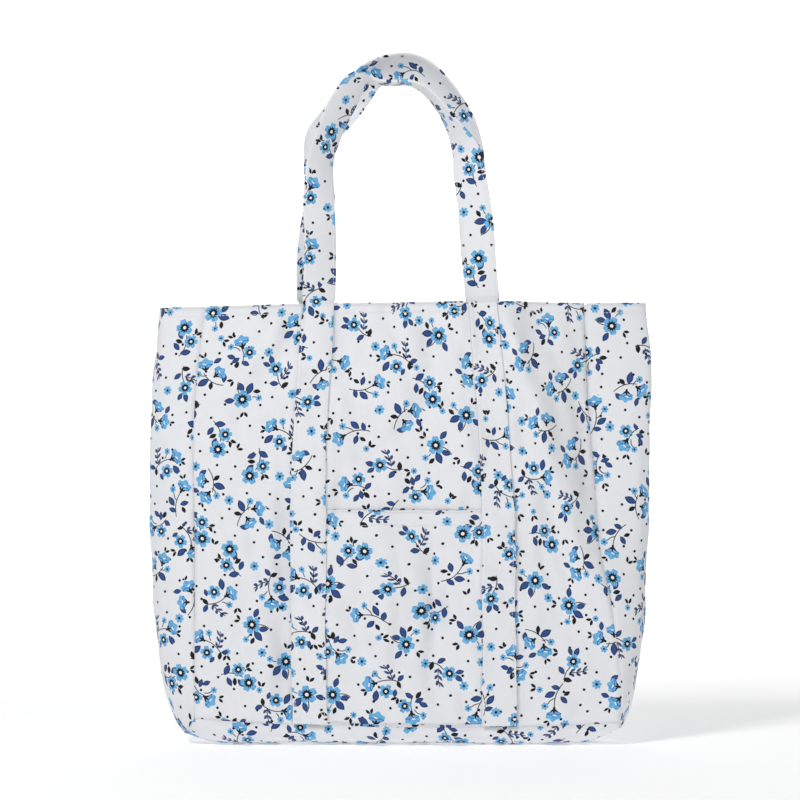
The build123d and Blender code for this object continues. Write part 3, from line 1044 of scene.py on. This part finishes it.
def strap_cloth(name, rows, length, w, wall, shift):
    n = np.cross(rows[5, 3] - rows[5, 2], rows[6, 2] - rows[5, 2])
    flip = n[1] * wall.side < 0
    uv = flat_uv(w[None, :], length[:, None], shift)
    obj = grid_object(name, rows, uv, flip, [STRAP_PRINT], STRAP_THICK, -1.0)
    bevel = obj.modifiers.new("soft_edge", "BEVEL")
    bevel.width = 0.9 * MM
    bevel.segments = 3
    bevel.limit_method = "ANGLE"
    bevel.angle_limit = math.radians(50)
    return obj


# Stitches


def stitches(name, rows):
    """Short threads lying along rows; a row is (points, normals) on the cloth's surface."""
    verts, faces = [], []
    for points, normals in rows:
        run = run_length(points)
        for start in np.arange(STITCH_PITCH / 2, run[-1] - STITCH_LONG, STITCH_PITCH):
            t = start + STITCH_LONG * np.array([0, 0.22, 0.5, 0.78, 1])
            n = unit(interpolated(t, run, normals))
            faces += thread_faces(len(verts))
            verts += thread_points(interpolated(t, run, points), n)
    return new_object(name, verts, faces, np.zeros((len(verts), 2)), [THREAD])


def thread_points(p, n):
    """Five rings of five points along one thread, smaller and lower at both ends."""
    side = np.cross(n, unit(p[-1] - p[0]))
    sizes = (0.35, 0.9, 1, 0.9, 0.35)
    rises = (-0.15, 0.05, 0.1, 0.05, -0.15)
    points = []
    for k, (size, rise) in enumerate(zip(sizes, rises)):
        for u, v in ((-1, 0), (-0.6, 0.8), (0.6, 0.8), (1, 0), (0, -0.6)):
            beside = side[k] * u * STITCH_WIDE / 2 * size
            points.append(p[k] + beside + n[k] * (v * STITCH_HIGH * size + rise))
    return points


def thread_faces(first):
    """Faces of one thread, from its first point's number."""
    faces = []
    for k in range(4):
        for j in range(5):
            a, b = first + 5 * k + j, first + 5 * k + (j + 1) % 5
            faces.append((a, b, b + 5, a + 5))
    faces.append(tuple(range(first + 4, first - 1, -1)))
    faces.append(tuple(range(first + 20, first + 25)))
    return faces


def row_normals(rows, side):
    """Unit normals of a grid of strap rows, outward for a wall on that side."""
    n = unit(np.cross(np.gradient(rows, axis=1), np.gradient(rows, axis=0)))
    return -n if n[5, 5, 1] * side < 0 else n


def interpolated(t, run, points):
    """Points at distances t along points that stand at distances run."""
    return np.stack([np.interp(t, run, points[:, k]) for k in range(3)], -1)


def strap_stitch_rows(rows, w, wall):
    """Edge rows on both faces of a strap."""
    normals = row_normals(rows, wall.side)
    out = []
    for target in (STITCH_AT, -STITCH_AT):
        line = np.stack([interpolated(target, w, row) for row in rows])
        norm = np.stack([interpolated(target, w, row) for row in normals])
        out.append((line, norm))
        free = line[:, 2] > LOOP_FOOT
        out.append((line[free] - norm[free] * STRAP_THICK, -norm[free]))
    return out


def stitch_row(place):
    """One row of stitches, from a function that gives points at a lift above the cloth."""
    low, high = place(STITCH_LIFT), place(STITCH_LIFT + 1.0)
    return low, high - low


def wall_row(wall, h, spans):
    """Stitch rows along a wall at a flat height, over spans of flat distance."""
    rows = []
    for low, high in spans:
        a = spaced(low, high, 2.0)
        rows.append(stitch_row(lambda lift: wall.point(a, np.full_like(a, h), lift + 0 * a)))
    return rows


def gusset_row(side, h):
    s = spaced(-0.97, 0.97, 0.03)
    return [stitch_row(lambda lift: gusset(side, s, np.full_like(s, h), lift + 0 * s))]


def pocket_row():
    a = spaced(-67, 67, 2.0)
    h = np.full_like(a, POCKET_HIGH - 13.0)
    return [stitch_row(lambda lift: FRONT.point(a, h, pocket_lift(a, h) + lift))]


# Bindings inside


def wall_binding(name, wall):
    """Tape over the raw edges: down the left seam, along the base seam, up the right one."""
    turn = 14.0
    outer = WALL_HALF - 1.5
    corner = [(-outer + turn - turn * math.cos(t), 1.5 + turn - turn * math.sin(t), t)
              for t in np.linspace(0, math.pi / 2, 8)]
    path = [(-outer, h, 0.0) for h in spaced(WALL_HIGH - 4, 20, 4)] + corner
    path += [(a, 1.5, math.pi / 2) for a in spaced(-outer + turn + 4, outer - turn - 4, 4)]
    path += [(-a, h, math.pi - t) for a, h, t in corner[::-1]]
    path += [(outer, h, math.pi) for h in spaced(20, WALL_HIGH - 4, 4)]
    path = np.array(path)
    inward = np.stack([np.cos(path[:, 2]), np.sin(path[:, 2])], -1)
    rows = []
    profile = [(0, -1.0), (0.3, -2.4), (4.5, -2.9), (8.2, -2.5), (8.6, -1.2)]
    for reach, lift in profile:
        a = path[:, 0] + inward[:, 0] * reach
        h = path[:, 1] + inward[:, 1] * reach
        rows.append(wall.point(a, h, lift + 0 * a))
    return tape_object(name, np.stack(rows, 1), 4.0)


def corner_binding(name, side):
    """Tape over the seam between a side gusset and the base strip."""
    s = spaced(-0.9, 0.9, 0.045)
    rows = []
    for h, lift in ((8, -1.4), (7, -2.8), (3.5, -3.3), (1.0, -2.8), (0.2, -1.6)):
        rows.append(gusset(side, s, h + 0 * s, lift + 0 * s))
    return tape_object(name, np.stack(rows, 1), 3.0)


def tape_object(name, points, step):
    """Binding tape from a grid of points: one row for each step along it."""
    count, columns = points.shape[:2]
    uv = flat_uv(np.arange(columns) * 2.5, np.arange(count)[:, None] * step, (0, 0))
    return grid_object(name, points, uv, False, [TAPE], TAPE_THICK, 0)


# Assembly

MOUTH_STITCH_H = WALL_HIGH - 8.5
CLEAR = STRAP_HALF + 1.0
mouth_spans = [
    (-WALL_HALF + 2, -STRAP_FLAT - CLEAR),
    (-STRAP_FLAT + CLEAR, STRAP_FLAT - CLEAR),
    (STRAP_FLAT + CLEAR, WALL_HALF - 2),
]

front_panel = wall_cloth("front_panel_cloth", FRONT, (0, 0))
back_panel = wall_cloth("back_panel_cloth", BACK, (611, 40))
left_gusset = gusset_cloth("left_gusset_cloth", -1, (-260, 12))
right_gusset = gusset_cloth("right_gusset_cloth", 1, (270, 25))
base_strip = base_cloth("base_cloth", (14, -420))
front_hem = wall_hem("front_mouth_hem_cloth", FRONT, (0, 0))
back_hem = wall_hem("back_mouth_hem_cloth", BACK, (611, 40))
left_hem = gusset_hem("left_mouth_hem_cloth", -1, (-260, 12))
right_hem = gusset_hem("right_mouth_hem_cloth", 1, (270, 25))
pocket = pocket_cloth("front_pocket_cloth", (31, 905))
pocket_top = pocket_hem("pocket_hem_cloth", (31, 905))
front_binding = wall_binding("front_seam_binding_tape", FRONT)
back_binding = wall_binding("back_seam_binding_tape", BACK)
left_corner = corner_binding("left_corner_binding_tape", -1)
right_corner = corner_binding("right_corner_binding_tape", 1)

front_rows, front_length, strap_w = strap_frames(FRONT, FRONT_LOOP)
back_rows, back_length, _ = strap_frames(BACK, BACK_LOOP)
front_strap = strap_cloth("front_strap_cloth", front_rows, front_length, strap_w, FRONT, (-700, 9))
back_strap = strap_cloth("back_strap_cloth", back_rows, back_length, strap_w, BACK, (-800, 350))
front_strap_thread = stitches("front_strap_thread", strap_stitch_rows(front_rows, strap_w, FRONT))
back_strap_thread = stitches("back_strap_thread", strap_stitch_rows(back_rows, strap_w, BACK))
front_mouth_thread = stitches("front_mouth_thread", wall_row(FRONT, MOUTH_STITCH_H, mouth_spans))
back_mouth_thread = stitches("back_mouth_thread", wall_row(BACK, MOUTH_STITCH_H, mouth_spans))
left_mouth_thread = stitches("left_mouth_thread", gusset_row(-1, MOUTH_STITCH_H))
right_mouth_thread = stitches("right_mouth_thread", gusset_row(1, MOUTH_STITCH_H))
pocket_thread = stitches("pocket_hem_thread", pocket_row())

# What each piece moves with and stands for

for piece, body, nodes in (
    (front_panel, "front_wall", ["front_panel"]),
    (front_hem, "front_wall", ["front_mouth_hem"]),
    (front_mouth_thread, "front_wall", ["front_mouth_stitching"]),
    (front_binding, "front_wall", ["front_seam_binding"]),
    (pocket, "front_wall", ["front_pocket"]),
    (pocket_top, "front_wall", ["pocket_hem"]),
    (pocket_thread, "front_wall", ["pocket_stitching"]),
    (back_panel, "bag_body", ["back_panel"]),
    (back_hem, "bag_body", ["back_mouth_hem"]),
    (back_mouth_thread, "bag_body", ["back_mouth_stitching"]),
    (back_binding, "bag_body", ["back_seam_binding"]),
    (base_strip, "bag_body", ["base_gusset"]),
    (left_corner, "bag_body", ["left_corner_binding"]),
    (right_corner, "bag_body", ["right_corner_binding"]),
):
    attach(piece, body)
    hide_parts(*nodes)

for piece, node in (
    (left_gusset, "left_gusset"),
    (right_gusset, "right_gusset"),
    (left_hem, "left_mouth_hem"),
    (right_hem, "right_mouth_hem"),
    (left_mouth_thread, "left_mouth_stitching"),
    (right_mouth_thread, "right_mouth_stitching"),
):
    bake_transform(piece)
    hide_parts(node)

for piece, wall_body, handle_body, nodes in (
    (front_strap, "front_wall", "front_handle",
     ["front_strap_left", "front_strap_right", "front_handle"]),
    (front_strap_thread, "front_wall", "front_handle",
     ["front_strap_left_stitching", "front_strap_right_stitching", "front_handle_stitching"]),
    (back_strap, "bag_body", "back_handle",
     ["back_strap_left", "back_strap_right", "back_handle"]),
    (back_strap_thread, "bag_body", "back_handle",
     ["back_strap_left_stitching", "back_strap_right_stitching", "back_handle_stitching"]),
):
    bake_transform(piece)
    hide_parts(*nodes)

# Camera, floor and light

FRAME_WIDTH = 704.0  # width seen at the front wall
VIEW_DISTANCE = 3000.0
camera_data = bpy.data.cameras.new("camera")
camera_data.sensor_width = 36.0
camera_data.lens = 36.0 * VIEW_DISTANCE / FRAME_WIDTH
camera_data.clip_end = 50
camera = bpy.data.objects.new("camera", camera_data)
camera.location = (-0.9 * MM, (-37 - VIEW_DISTANCE) * MM, 304.9 * MM)
camera.rotation_euler = (math.radians(90), 0, 0)
bpy.context.scene.collection.objects.link(camera)
bpy.context.scene.camera = camera


def glowing_studio_white():
    material, _, shader = new_material("glowing_studio_white")
    shader.inputs["Base Color"].default_value = (0.93, 0.93, 0.93, 1)
    shader.inputs["Roughness"].default_value = 0.9
    # Painted light: the floor and backdrop glow, though they are no lamp, lighting the bag's base
    # from below and washing out its shadow on the floor.
    shader.inputs["Emission Color"].default_value = (1, 1, 1, 1)
    shader.inputs["Emission Strength"].default_value = 0.3
    return material


def backdrop():
    """White floor that curves up well behind the bag; its material glows a little as painted
    light.
    """
    profile = [(-30.0, 0.0), (3.8, 0.0)]
    for t in np.linspace(0, math.pi / 2, 14)[1:]:
        profile.append((3.8 + 1.2 * math.sin(t), 1.2 - 1.2 * math.cos(t)))
    profile.append((5.0, 5.0))
    verts = [(x, y, z) for y, z in profile for x in (-30.0, 30.0)]
    faces = [(2 * k, 2 * k + 1, 2 * k + 3, 2 * k + 2) for k in range(len(profile) - 1)]
    mesh = bpy.data.meshes.new("studio_floor")
    mesh.from_pydata(verts, [], faces)
    mesh.polygons.foreach_set("use_smooth", [True] * len(faces))
    mesh.materials.append(glowing_studio_white())
    obj = bpy.data.objects.new("studio_floor", mesh)
    bpy.context.scene.collection.objects.link(obj)


def area_light(name, place, aim, size, power):
    data = bpy.data.lights.new(name, "AREA")
    data.shape = "SQUARE"
    data.size = size
    data.energy = power
    obj = bpy.data.objects.new(name, data)
    obj.location = place
    direction = Vector(aim) - Vector(place)
    obj.rotation_euler = direction.to_track_quat("-Z", "Y").to_euler()
    obj.visible_camera = False
    bpy.context.scene.collection.objects.link(obj)


backdrop()
world = bpy.data.worlds.new("studio_world")
world.use_nodes = True
world.node_tree.nodes["Background"].inputs["Color"].default_value = (1, 1, 1, 1)
world.node_tree.nodes["Background"].inputs["Strength"].default_value = 0.23
bpy.context.scene.world = world
area_light("key_light", (-1.25, -1.95, 2.3), (0, 0, 0.3), 0.7, 43)
area_light("fill_light", (1.9, -2.4, 0.9), (0, 0, 0.3), 1.6, 16)
area_light("backdrop_light", (0, 2.4, 3.0), (0, 5.0, 0.6), 2.4, 90)
bpy.context.scene.view_settings.view_transform = "Standard"

bpy.context.view_layer.update()
